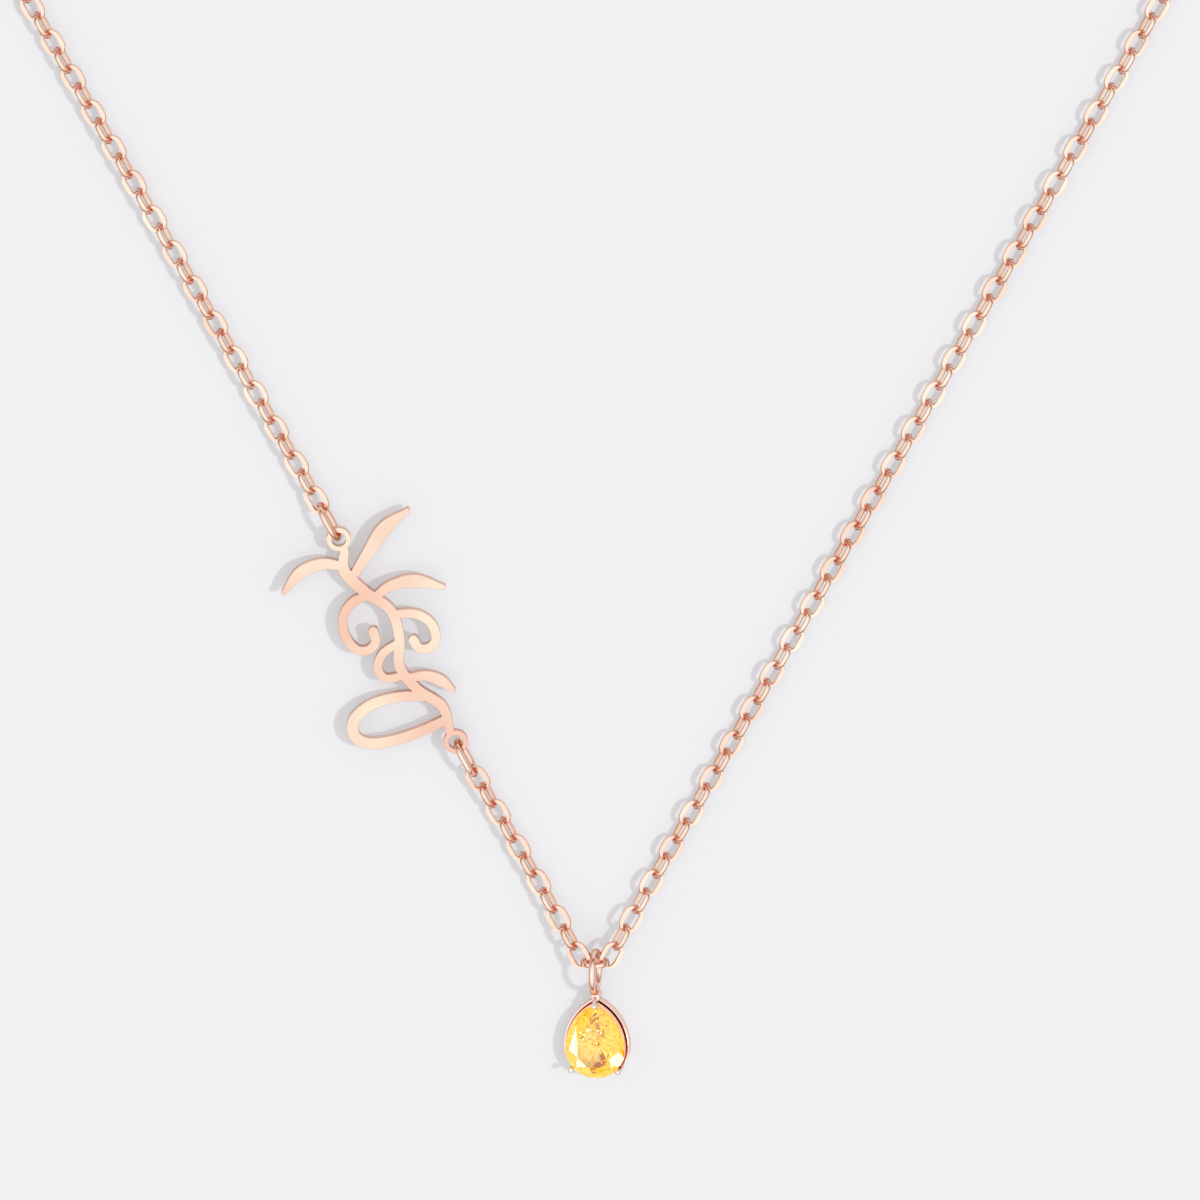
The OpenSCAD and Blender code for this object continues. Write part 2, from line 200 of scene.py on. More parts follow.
@dataclass(frozen=True)
class RoseGoldPlating:
    """Rose gold electroplate on sterling silver, tumbled and buffed to a mirror.

    The eye gets near white where it mirrors the soft light overhead, a warm pink gold elsewhere, and a
    copper red along edges, where its reflection takes the grazing tint. In crevices and where parts meet
    its colour turns to a painted shade of copper red, by how closed in each point is. Its colour drifts
    a little from place to place, and buffing leaves faint ripples and hairlines.
    """

    name: str
    gold: str
    blush: str
    grazing: str = "#E0866A"
    # Painted shade in crevices and where parts meet: its copper red, how far the occlusion looks, the
    # span it fades over and its samples
    painted_crevice_shade: str = "#E04E26"
    painted_shade_mm: float = 0.45
    painted_shade_span: tuple[float, float] = (0.35, 0.85)
    painted_shade_samples: int = 6
    drift_mm: float = 7.0
    drift_span: tuple[float, float] = (0.35, 0.65)
    hairline_mm: float = 0.12
    hairline_span: tuple[float, float] = (0.3, 0.75)
    smooth: float = 0.12
    worn: float = 0.24
    ripple_mm: float = 0.9
    ripple_depth_mm: float = 0.004
    ripple_strength: float = 0.5

    def make(self) -> bpy.types.Material:
        """Builds the material.

        Returns:
            The finished material.
        """
        material, tree = new_material(self.name)
        drift = stretch(tree, noise(tree, self.drift_mm, detail=2.0), self.drift_span)
        buffed = blend(tree, drift, linear(self.gold), linear(self.blush))
        # Painted shade: where ambient occlusion finds a point closed in, in creases and where parts
        # meet, the colour turns copper red
        shade_openness = add(tree, "ShaderNodeAmbientOcclusion", {
            "Distance": self.painted_shade_mm * MM}, samples=self.painted_shade_samples).outputs["AO"]
        colour = blend(
            tree, stretch(tree, shade_openness, self.painted_shade_span), linear(self.painted_crevice_shade), buffed)
        # Hairlines are finer than the picture shows, so they are drawn at about a pixel of a close view
        roughness = stretch(tree, noise(tree, self.hairline_mm, detail=3.0), self.hairline_span,
                            onto=(self.smooth, self.worn))
        bump = add(tree, "ShaderNodeBump", {
            "Height": noise(tree, self.ripple_mm, detail=1.0), "Strength": self.ripple_strength,
            "Distance": self.ripple_depth_mm * MM})
        shader = add(tree, "ShaderNodeBsdfPrincipled", {
            "Base Color": colour, "Metallic": 1.0, "Roughness": roughness,
            "Specular Tint": linear(self.grazing), "Normal": bump.outputs["Normal"]})
        add(tree, "ShaderNodeOutputMaterial", {"Surface": shader.outputs["BSDF"]})
        return material


@dataclass(frozen=True)
class YellowSapphire:
    """Created yellow sapphire, cut with many small facets below and polished.

    The eye gets clear glassy yellow with white flashes on some facets of the crown. Its high index turns
    nearly all light back at the pavilion, which acts as a mirror from the inside, so the stone glows
    yellow. The mirror's tint from pale to amber is a painted reflection, given at random to each facet
    and, on the fine facets behind the point, to each small patch, for the different light each sends
    back. Each small patch there also tilts the mirror another way, as a crushed ice cut does.
    """

    name: str = "yellow_sapphire"
    clear: str = "#FFF9E0"
    pale: str = "#FFFAC2"
    gold: str = "#FFD854"
    amber: str = "#FFC046"
    cloud_mm: float = 1.3
    patch_mm: float = 0.33
    patch_tilt: float = 0.16
    grain_mm: float = 0.22
    grain_share: float = 0.75
    inner_glow: float = 0.06
    ior: float = 1.77
    roughness: float = 0.015

    def cloud(self, tree: bpy.types.NodeTree, one: str, other: str) -> bpy.types.NodeSocket:
        """Mixes two colours in drifting clouds."""
        return blend(tree, noise(tree, self.cloud_mm, detail=2.0), linear(one), linear(other))

    def glass(self, tree: bpy.types.NodeTree) -> bpy.types.NodeSocket:
        """Adds the polished outer surface to a material's tree."""
        return add(tree, "ShaderNodeBsdfPrincipled", {
            "Base Color": self.cloud(tree, self.clear, self.pale), "Roughness": self.roughness,
            "IOR": self.ior, "Transmission Weight": 1.0}).outputs["BSDF"]

    def mirror(self, tree: bpy.types.NodeTree) -> bpy.types.NodeSocket:
        """Adds the pavilion's inner side, tilted another way in each small patch and tinted with a
        painted reflection.

        Args:
            tree: The material's tree.

        Returns:
            The mirror's shader.
        """
        fine = add(tree, "ShaderNodeAttribute", attribute_name=FACET_GRAIN).outputs["Fac"]
        middle = (0.5, 0.5, 0.5)
        aim = add(tree, "ShaderNodeVectorMath", {
            0: patches(tree, self.patch_mm), 1: middle}, operation="SUBTRACT")
        tilt = add(tree, "ShaderNodeMath", {0: fine, 1: self.patch_tilt}, operation="MULTIPLY")
        lean = add(tree, "ShaderNodeVectorMath", {
            0: aim.outputs[0], "Scale": tilt.outputs[0]}, operation="SCALE")
        flat = add(tree, "ShaderNodeNewGeometry").outputs["Normal"]
        tilted = add(tree, "ShaderNodeVectorMath", {0: flat, 1: lean.outputs[0]}, operation="ADD")
        unit = add(tree, "ShaderNodeVectorMath", {0: tilted.outputs[0]}, operation="NORMALIZE")
        # Painted reflection: a random tone for each facet, and on the fine facets one for each small
        # patch, mixes the mirror's tint from pale to amber
        reflection_tone = add(tree, "ShaderNodeAttribute", attribute_name=PAINTED_REFLECTION_TONE).outputs["Fac"]
        grain = add(tree, "ShaderNodeSeparateXYZ", {0: patches(tree, self.grain_mm)}).outputs[0]
        share = add(tree, "ShaderNodeMath", {0: fine, 1: self.grain_share}, operation="MULTIPLY")
        depth = add(tree, "ShaderNodeMix", {0: share.outputs[0], 2: reflection_tone, 3: grain}).outputs[0]
        tint = blend(tree, depth, linear(self.pale), self.cloud(tree, self.amber, self.gold))
        return add(tree, "ShaderNodeBsdfPrincipled", {
            "Base Color": tint, "Metallic": 1.0, "Roughness": self.roughness,
            "Normal": unit.outputs[0]}).outputs["BSDF"]

    def make(
        self, name: str, inner: Callable[[bpy.types.NodeTree], bpy.types.NodeSocket]
    ) -> bpy.types.Material:
        """Builds a material that is polished outside and something else to the light inside.

        Args:
            name: The material's name.
            inner: Adds what the light meets from the inside.

        Returns:
            The finished material.
        """
        material, tree = new_material(name)
        inside = add(tree, "ShaderNodeNewGeometry").outputs["Backfacing"]
        shader = add(tree, "ShaderNodeMixShader", {0: inside, 1: self.glass(tree), 2: inner(tree)})
        add(tree, "ShaderNodeOutputMaterial", {"Surface": shader.outputs["Shader"]})
        return material

    def front(self) -> bpy.types.Material:
        """Builds the crown's material, which lets all light out again.

        A faint amber glow stands for light that is turned back more often than a picture follows it.

        Returns:
            The finished material.
        """
        def way_out(tree: bpy.types.NodeTree) -> bpy.types.NodeSocket:
            """Adds what the light meets on its way out."""
            clear = add(tree, "ShaderNodeBsdfTransparent", {"Color": linear(self.clear)})
            glow = add(tree, "ShaderNodeEmission", {
                "Color": linear(self.amber), "Strength": self.inner_glow})
            return add(tree, "ShaderNodeAddShader", {
                0: clear.outputs["BSDF"], 1: glow.outputs["Emission"]}).outputs["Shader"]

        return self.make(self.name, way_out)

    def back(self) -> bpy.types.Material:
        """Builds the pavilion's material, which throws the light back."""
        return self.make(f"{self.name}_pavilion", self.mirror)


@dataclass(frozen=True)
class LightTable:
    """Opal acrylic sheet with a matte face, lit from below as on a table for small goods.

    The eye gets an even pale ground with light shadows, because part of its light comes from within.
    """

    name: str = "opal_acrylic"
    light: str = "#A2A5A9"
    shade: str = "#9EA2A6"
    glow: str = "#FDFBFD"
    glow_strength: float = 0.36
    grain_mm: float = 0.5
    roughness: float = 0.9

    def make(self) -> bpy.types.Material:
        """Builds the material.

        Returns:
            The finished material.
        """
        material, tree = new_material(self.name)
        grain = noise(tree, self.grain_mm, detail=2.0)
        shader = add(tree, "ShaderNodeBsdfPrincipled", {
            "Base Color": blend(tree, grain, linear(self.light), linear(self.shade)),
            "Roughness": self.roughness, "Emission Color": linear(self.glow),
            "Emission Strength": self.glow_strength})
        add(tree, "ShaderNodeOutputMaterial", {"Surface": shader.outputs["BSDF"]})
        return material


def polish(mesh: bpy.types.Mesh, shading: Shading, corner: float = CRISP_FROM) -> None:
    """Sets how a mesh takes the light.

    Args:
        mesh: Mesh to shade.
        shading: Cut facets or polished faces.
        corner: Angle in degrees past which a polished edge stays crisp.
    """
    if shading is Shading.CUT:
        mesh.shade_flat()
        return
    mesh.shade_smooth()
    mesh.set_sharp_from_angle(angle=math.radians(corner))


@dataclass
class Shape:
    """Closed shells gathered into one mesh, in millimetres. Faces listed as painted highlight take the
    second finish.
    """

    points: list[Vector] = field(default_factory=list)
    faces: list[tuple[int, ...]] = field(default_factory=list)
    bright: list[int] = field(default_factory=list)

    def loft(
        self,
        rings: Sequence[Sequence[Vector]],
        place: Matrix | None = None,
        closed: bool = False,
    ) -> None:
        """Joins a row of rings of equal counts, with caps at both ends or back to the first ring.

        Args:
            rings: Rings of points, in order along the shell.
            place: Where the shell goes, or None to leave it.
            closed: Whether the last ring joins the first.
        """
        start, count = len(self.points), len(rings[0])
        place = place or Matrix.Identity(4)
        self.points += [place @ point for ring in rings for point in ring]
        for i in range(len(rings) if closed else len(rings) - 1):
            here, after = start + i * count, start + (i + 1) % len(rings) * count
            self.faces += [
                (here + j, here + (j + 1) % count, after + (j + 1) % count, after + j)
                for j in range(count)]
        if not closed:
            last = start + (len(rings) - 1) * count
            self.faces.append(tuple(reversed(range(start, start + count))))
            self.faces.append(tuple(range(last, last + count)))

    def lathe(self, outline: Sequence[tuple[float, float]], place: Matrix, sides: int) -> None:
        """Turns an outline about the Z axis of a place.

        Args:
            outline: Radius and height of each ring, from one end to the other.
            place: Frame whose Z axis is the turning axis.
            sides: Corners round the axis.
        """
        turns = [math.tau * j / sides for j in range(sides)]
        self.loft([[Vector((r * math.cos(a), r * math.sin(a), z)) for a in turns]
                   for r, z in outline], place)

    def ball(self, centre: Vector, radius: float, place: Matrix, rings: int = 14) -> None:
        """Adds a round ball.

        Args:
            centre: The ball's centre in the place's frame.
            radius: Its radius.
            place: The frame.
            rings: Rings from one pole to the other.
        """
        steps = [math.pi * (i + 0.5) / rings - math.pi / 2 for i in range(rings)]
        self.lathe([(radius * math.cos(a), radius * math.sin(a)) for a in steps],
                   place @ Matrix.Translation(centre), 2 * rings)

    def wire(self, path: Sequence[Vector], radius: float, place: Matrix, sides: int = 20) -> None:
        """Adds a round wire along a path.

        Args:
            path: Points of its middle line.
            radius: Radius of the wire.
            place: The frame of the path.
            sides: Corners round the wire.
        """
        rings, across = [], Vector((1, 0, 0))
        for i, point in enumerate(path):
            ahead = (path[min(i + 1, len(path) - 1)] - path[max(i - 1, 0)]).normalized()
            up = ahead.cross(across).normalized()
            across = up.cross(ahead).normalized()
            rings.append([point + radius * (math.cos(a) * across + math.sin(a) * up)
                          for a in (math.tau * j / sides for j in range(sides))])
        self.loft(rings, place)

    def make(self, name: str, shading: Shading, corner: float = CRISP_FROM) -> bpy.types.Object:
        """Turns the shells into an object at the origin, with its faces outwards.

        Args:
            name: The piece's name.
            shading: How it takes the light.
            corner: Angle in degrees past which a polished edge stays crisp.

        Returns:
            The new object.
        """
        mesh = bpy.data.meshes.new(name)
        mesh.from_pydata([point * MM for point in self.points], [], self.faces)
        for i in self.bright:
            mesh.polygons[i].material_index = 1
        shell = bmesh.new()
        shell.from_mesh(mesh)
        bmesh.ops.recalc_face_normals(shell, faces=shell.faces)
        shell.to_mesh(mesh)
        shell.free()
        polish(mesh, shading, corner)
        return show(name, mesh)


def show(name: str, mesh: bpy.types.Mesh) -> bpy.types.Object:
    """Puts a mesh into the scene as an object at the origin.

    Args:
        name: The object's name.
        mesh: Its mesh.

    Returns:
        The object.
    """
    piece = bpy.data.objects.new(name, mesh)
    bpy.context.scene.collection.objects.link(piece)
    return piece


def fit(piece: bpy.types.Object, slot: Slot, *nodes: str) -> None:
    """Lets a finished piece stand for its CAD nodes.

    Args:
        piece: The piece, already in place.
        slot: The record's slot that its finish comes from; not used.
        *nodes: The CAD nodes that it replaces.
    """
    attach(piece, "root")
    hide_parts(*nodes)
    log.info("%s: %d faces, stands for %s", piece.name, len(piece.data.polygons), ", ".join(nodes))


def merged_copy(node: str) -> bmesh.types.BMesh:
    """Copies a CAD node's mesh with its loose triangles joined.

    Args:
        node: The node's name.

    Returns:
        The copy. The node itself stays as it is.
    """
    copy = bmesh.new()
    copy.from_mesh(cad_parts[node].data)
    bmesh.ops.remove_doubles(copy, verts=copy.verts, dist=SAME_POINT_MM * MM)
    return copy


def softened_copy(node: str, width_mm: float, segments: int) -> bpy.types.Object:
    """Copies a CAD node as a piece with its corners eased, as tumbling leaves them.

    Args:
        node: The node's name.
        width_mm: Width of the eased corner.
        segments: Steps across it.

    Returns:
        The new piece.
    """
    copy = merged_copy(node)
    bmesh.ops.dissolve_limit(
        copy, angle_limit=math.radians(FLAT_WITHIN), verts=copy.verts, edges=copy.edges)
    mesh = bpy.data.meshes.new(f"{node}_piece")
    copy.to_mesh(mesh)
    copy.free()
    polish(mesh, Shading.POLISHED)
    piece = show(f"{node}_piece", mesh)
    bevel = piece.modifiers.new("Tumbled corners", "BEVEL")
    bevel.width = width_mm * MM
    bevel.segments = segments
    bevel.limit_method = "ANGLE"
    bevel.angle_limit = math.radians(EASED_FROM)
    bevel.use_clamp_overlap = False
    bevel.harden_normals = True
    return piece


def solids(node: str) -> Iterator[np.ndarray]:
    """Gives the corner points of each loose solid in a CAD node.

    Args:
        node: The node's name.

    Yields:
        One array of points, in metres, for each solid.
    """
    copy = merged_copy(node)
    waiting = dict.fromkeys(copy.verts)  # keeps its order, so each run gives the same result
    while waiting:
        found = [waiting.popitem()[0]]
        for point in found:
            for near in (edge.other_vert(point) for edge in point.link_edges):
                if near in waiting:
                    del waiting[near]
                    found.append(near)
        yield np.array([point.co[:] for point in found])
    copy.free()


def places(node: str) -> list[tuple[Vector, Quaternion]]:
    """Finds where each ring or link of a CAD node lies, from its own corner points.

    Args:
        node: The node's name.

    Returns:
        Centre and turn of each one, with X along its length, Y across it and Z through its opening.
    """
    found = []
    for points in solids(node):
        centre = points.mean(axis=0)
        axes = np.linalg.eigh(np.cov((points - centre).T))[1][:, ::-1]
        if np.linalg.det(axes) < 0:
            axes[:, 2] *= -1
        found.append((Vector(centre), Matrix(axes.tolist()).to_quaternion()))
    return found


def place_cloud(name: str, where: Sequence[tuple[Vector, Quaternion]]) -> bpy.types.Object:
    """Makes a cloud of points that each carry a turn.

    Args:
        name: The cloud's name.
        where: Place and turn of each point.

    Returns:
        The cloud, as an object.
    """
    mesh = bpy.data.meshes.new(name)
    mesh.from_pydata([place for place, _ in where], [], [])
    turn = mesh.attributes.new(TURN, "QUATERNION", "POINT")
    for entry, (_, value) in zip(turn.data, where):
        entry.value = value
    return show(name, mesh)


def new_tree(name: str, **sockets: str) -> tuple[bpy.types.NodeTree, bpy.types.Node]:
    """Starts a Geometry Nodes tree that takes and gives geometry.

    Args:
        name: The tree's name.
        **sockets: Kind of each named input, with _ for a space in its name.

    Returns:
        The tree and its input node.
    """
    tree = bpy.data.node_groups.new(name, "GeometryNodeTree")
    face = tree.interface
    face.new_socket("Geometry", in_out="INPUT", socket_type="NodeSocketGeometry")
    for label, kind in sockets.items():
        face.new_socket(label.replace("_", " "), in_out="INPUT", socket_type=f"NodeSocket{kind}")
    face.new_socket("Geometry", in_out="OUTPUT", socket_type="NodeSocketGeometry")
    return tree, add(tree, "NodeGroupInput")


def end_tree(
    tree: bpy.types.NodeTree, given: bpy.types.Node, ring: bpy.types.NodeSocket
) -> None:
    """Sets a ring on every point with the point's own turn, makes it real and gives it its finish.

    Args:
        tree: The tree to end.
        given: Its input node, which has the points and the finish.
        ring: The geometry of one ring or link.
    """
    turn = add(tree, "GeometryNodeInputNamedAttribute", {"Name": TURN}, data_type="QUATERNION")
    row = add(tree, "GeometryNodeInstanceOnPoints", {
        "Points": given.outputs["Geometry"], "Instance": ring, "Rotation": turn.outputs[0]})
    real = add(tree, "GeometryNodeRealizeInstances", {"Geometry": row.outputs["Instances"]})
    dressed = add(tree, "GeometryNodeSetMaterial", {
        "Geometry": real.outputs["Geometry"], "Material": given.outputs["Finish"]})
    add(tree, "NodeGroupOutput", {"Geometry": dressed.outputs["Geometry"]})


def run_tree(
    carrier: bpy.types.Object, tree: bpy.types.NodeTree, values: dict[str, object]
) -> bpy.types.Object:
    """Runs a tree on an object and leaves the result there as a plain mesh.

    Args:
        carrier: The object that holds the points.
        tree: The tree.
        values: Value for each of the tree's named inputs.

    Returns:
        The same object, with no modifier.
    """
    modifier = carrier.modifiers.new("Set in place", "NODES")
    modifier.node_group = tree
    for item in tree.interface.items_tree:
        if item.in_out == "INPUT" and item.name in values:
            modifier[item.identifier] = values[item.name]
    graph = bpy.context.evaluated_depsgraph_get()
    made = bpy.data.meshes.new_from_object(
        carrier.evaluated_get(graph), preserve_all_data_layers=True, depsgraph=graph)
    carrier.modifiers.clear()
    carrier.data = made
    return carrier


def stadium(length: float, width: float, corners: int) -> list[Vector]:
    """Outline with two straight sides and two round ends.

    Args:
        length: Whole length along X.
        width: Whole width along Y.
        corners: Number of corners, an even number.

    Returns:
        The corners, in order round the outline.
    """
    half = corners // 2
    outline = []
    for i in range(corners):
        end = 1 if i < half else -1
        angle = math.radians(-90 + 180 / (half - 1) * (i % half) + (0 if end > 0 else 180))
        outline.append(Vector((
            end * (length - width) / 2 + width / 2 * math.cos(angle),
            width / 2 * math.sin(angle), 0)))
    return outline


@dataclass
class CableChain:
    """Cable chain of oval links, rolled flat after soldering so each is wider at its sides."""

    length: float = 2.69
    width: float = 2.07
    hole_length: float = 2.11
    hole_width: float = 1.06
    thickness: float = 0.36
    corners: int = 16
    ease: float = 0.14
    crisp_from: float = 55.0
    nodes: tuple[str, ...] = ("left_chain", "lower_left_chain", "right_chain", "middle_link")

    def link(self) -> bpy.types.Object:
        """Makes one link with eased corners.

        Returns:
            The link, flat in the XY plane.
        """
        outside = stadium(self.length, self.width, self.corners)
        inside = stadium(self.hole_length, self.hole_width, self.corners)
        top = self.thickness / 2
        section = (  # share of the way from the hole to the outside, and height
            (0, 0), (self.ease, top), (1 - self.ease, top),
            (1, 0), (1 - self.ease, -top), (self.ease, -top))
        shape = Shape()
        shape.loft([[inner.lerp(outer, share) + Vector((0, 0, z)) for share, z in section]
                    for inner, outer in zip(inside, outside)], closed=True)
        return shape.make("one_link", Shading.POLISHED, self.crisp_from)

    def tree(self) -> bpy.types.NodeTree:
        """Builds the tree that sets a link at each place of the chain.

        Returns:
            The tree.
        """
        tree, given = new_tree("links_in_place", Link="Object", Finish="Material")
        link = add(tree, "GeometryNodeObjectInfo", {"Object": given.outputs["Link"]})
        end_tree(tree, given, link.outputs["Geometry"])
        return tree

    def build(self, metal: bpy.types.Material) -> None:
        """Sets links where the CAD's links are, one piece for each stretch of chain.

        Args:
            metal: The chain's finish.
        """
        link, tree = self.link(), self.tree()
        for node in self.nodes:
            cloud = place_cloud(f"{node}_links", places(node))
            fit(run_tree(cloud, tree, {"Link": link, "Finish": metal}), Slot.METAL, node)
        bpy.data.objects.remove(link)


@dataclass
class WireRing:
    """A ring bent from wire and soldered shut, long or round."""

    length: float
    depth: float
    wire_in: float
    wire_across: float
    corner_steps: int = 14
    wire_sides: int = 16

    @staticmethod
    def tree() -> bpy.types.NodeTree:
        """Builds the tree that bends a ring from its sizes.

        Returns:
            The tree.
        """
        tree, given = new_tree(
            "bent_wire_ring", Length="Float", Depth="Float", Wire_In="Float", Wire_Across="Float",
            Corner_Steps="Int", Wire_Sides="Int", Finish="Material")
        size = given.outputs

        def minus(whole: str, part: str) -> bpy.types.NodeSocket:
            """Takes one of the ring's sizes from another."""
            return add(tree, "ShaderNodeMath", {0: size[whole], 1: size[part]},
                       operation="SUBTRACT").outputs[0]

        middle = add(tree, "GeometryNodeCurvePrimitiveQuadrilateral", {
            "Width": minus("Length", "Wire In"), "Height": minus("Depth", "Wire In")})
        radius = add(tree, "ShaderNodeMath", {
            0: minus("Depth", "Wire In"), 1: FILLET_SHARE}, operation="MULTIPLY")
        route = add(tree, "GeometryNodeFilletCurve", {
            "Curve": middle.outputs["Curve"], "Count": size["Corner Steps"],
            "Radius": radius.outputs[0]}, mode="POLY")
        # The wire's section is a circle of width 1 that is then scaled to its two widths
        wire = add(tree, "GeometryNodeCurvePrimitiveCircle", {
            "Resolution": size["Wire Sides"], "Radius": 0.5}, mode="RADIUS")
        flattened = add(tree, "GeometryNodeTransform", {
            "Geometry": wire.outputs["Curve"],
            "Scale": add(tree, "ShaderNodeCombineXYZ", {
                "X": size["Wire In"], "Y": size["Wire Across"], "Z": 1.0}).outputs[0]})
        swept = add(tree, "GeometryNodeCurveToMesh", {
            "Curve": route.outputs["Curve"], "Profile Curve": flattened.outputs["Geometry"]})
        smooth = add(tree, "GeometryNodeSetShadeSmooth", {"Geometry": swept.outputs["Mesh"]})
        end_tree(tree, given, smooth.outputs["Geometry"])
        return tree

    def bend(
        self,
        name: str,
        where: Sequence[tuple[Vector, Quaternion]],
        tree: bpy.types.NodeTree,
        metal: bpy.types.Material,
    ) -> bpy.types.Object:
        """Bends a ring at each given place.

        Args:
            name: The piece's name.
            where: Centre and turn of each ring.
            tree: The tree that bends it.
            metal: Its finish.

        Returns:
            The piece.
        """
        return run_tree(place_cloud(name, where), tree, {
            "Length": self.length * MM, "Depth": self.depth * MM,
            "Wire In": self.wire_in * MM, "Wire Across": self.wire_across * MM,
            "Corner Steps": self.corner_steps, "Wire Sides": self.wire_sides, "Finish": metal})


@dataclass
class JumpRings:
    """The two long rings of round wire that hold the plate's eyes."""

    ring: WireRing = field(default_factory=lambda: WireRing(
        length=3.92, depth=3.13, wire_in=0.53, wire_across=0.53))
    nodes: tuple[str, ...] = ("upper_jump_ring", "lower_jump_ring")

    def build(self, tree: bpy.types.NodeTree, metal: bpy.types.Material) -> None:
        """Bends both rings where the CAD's are.

        Args:
            tree: The tree that bends a ring.
            metal: The rings' finish.
        """
        for node in self.nodes:
            fit(self.ring.bend(f"{node}_wire", places(node), tree, metal), Slot.METAL, node)


@dataclass
class TumbledPiece:
    """A solid piece whose corners tumbling has eased."""

    node: str
    corner: float
    steps: int

    def build(self, metal: bpy.types.Material) -> None:
        """Eases the piece's corners and gives it its finish.

        Args:
            metal: The finish.
        """
        piece = softened_copy(self.node, self.corner, self.steps)
        piece.data.materials.append(metal)
        fit(piece, Slot.METAL, self.node)


@dataclass
class PiercedPlate(TumbledPiece):
    """The flat plate, pierced with a piercing saw."""

    node: str = "name_plate"
    corner: float = 0.035
    steps: int = 2


@dataclass
class Clasp(TumbledPiece):
    """The plain clasp at the back of the neck, with well rounded corners."""

    node: str = "clasp"
    corner: float = 0.16
    steps: int = 3


@dataclass
class Pear:
    """The pear outline of the stone, about the centre of its round end."""

    width: float = 5.5
    length: float = 7.1

    @property
    def radius(self) -> float:
        """Radius of the round end."""
        return self.width / 2

    @property
    def tip(self) -> float:
        """Distance from the round end's centre to the point."""
        return self.length - self.radius

    def point(self, angle: float, out: float = 0.0) -> Vector:
        """Gives a point of the outline, or of one that runs a little outside it.

        Args:
            angle: Degrees round the stone, 0 on the right and 90 at its point.
            out: Distance outside the stone's own outline.

        Returns:
            The point, with Z zero.
        """
        turn = angle % 360
        if turn >= 180 or turn == 0:
            size, round_end = self.radius + out, math.radians(turn)
            return Vector((size * math.cos(round_end), size * math.sin(round_end), 0))
        arc = (self.radius ** 2 + self.tip ** 2) / (2 * self.radius) + out
        off = arc - out - self.radius
        along = math.acos(off / arc) * (90 - abs(turn - 90)) / 90
        side = 1 if turn < 90 else -1
        return Vector((side * (arc * math.cos(along) - off), arc * math.sin(along), 0))


